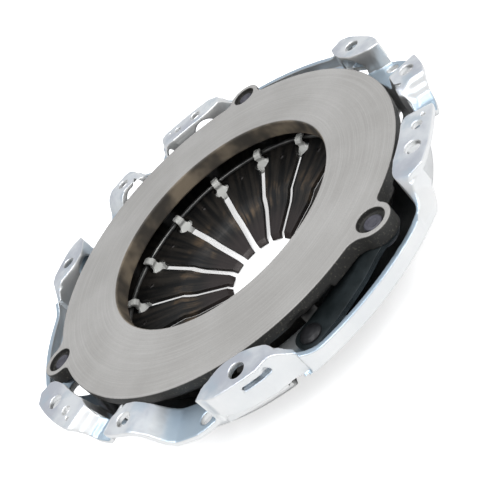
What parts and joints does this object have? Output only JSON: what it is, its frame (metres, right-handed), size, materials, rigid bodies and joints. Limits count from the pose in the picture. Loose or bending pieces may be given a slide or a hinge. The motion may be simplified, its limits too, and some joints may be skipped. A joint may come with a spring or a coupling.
{
  "type": "clutch pressure plate",
  "caption": "Diaphragm-spring clutch cover assembly: pressed steel cover, cast friction plate hung on leaf straps, and a slotted cone spring with release fingers.",
  "frame": {"origin": "centre of the plane of the cover's nine mounting feet, on the spin axis", "axes": "+Z along the spin axis towards the flywheel, out of the friction face; +Y points at one of the three lugs; angles run anticlockwise about +Z"},
  "size_m": [0.2924, 0.2924, 0.0554],
  "materials": {
    "zinc_steel": "satin zinc plate",
    "cast_iron": "turned face, rough cast sides",
    "spring_steel": "dark heat-treated",
    "bright_wire": "drawn wire",
    "strap_steel": "blued spring steel",
    "rivet_steel": "dull"
  },
  "bodies": {
    "cover": {"cover": "zinc_steel", "front_fulcrum_ring": "bright_wire", "strap_1_leaf_1": "strap_steel", "strap_1_leaf_2": "strap_steel", "strap_1_leaf_3": "strap_steel", "cover_rivet_1": "zinc_steel", "strap_2_leaf_1": "strap_steel", "strap_2_leaf_2": "strap_steel", "strap_2_leaf_3": "strap_steel", "cover_rivet_2": "zinc_steel", "strap_3_leaf_1": "strap_steel", "strap_3_leaf_2": "strap_steel", "strap_3_leaf_3": "strap_steel", "cover_rivet_3": "zinc_steel"},
    "plate": {"pressure_plate": "cast_iron", "lug_rivet_1": "rivet_steel", "lug_washer_1": "rivet_steel", "lug_rivet_2": "rivet_steel", "lug_washer_2": "rivet_steel", "lug_rivet_3": "rivet_steel", "lug_washer_3": "rivet_steel"},
    "diaphragm": {"diaphragm_spring": "spring_steel"}
  },
  "joints": [
    {"name": "plate_lift", "type": "slide", "parent": "cover", "child": "plate", "axis": [0, 0, 1], "range_m": [-0.006, 0], "stiffness_N_per_m": 20000, "deforming": ["strap_1_leaf_1", "strap_1_leaf_2", "strap_1_leaf_3", "strap_2_leaf_1", "strap_2_leaf_2", "strap_2_leaf_3", "strap_3_leaf_1", "strap_3_leaf_2", "strap_3_leaf_3"]},
    {"name": "finger_press", "type": "slide", "parent": "cover", "child": "diaphragm", "axis": [0, 0, 1], "range_m": [0, 0.0216], "stiffness_N_per_m": 30000, "deforming": ["diaphragm_spring"]}
  ],
  "couplings": [
    {"joint": "finger_press", "follows": "plate_lift", "ratio": -3.6}
  ]
}
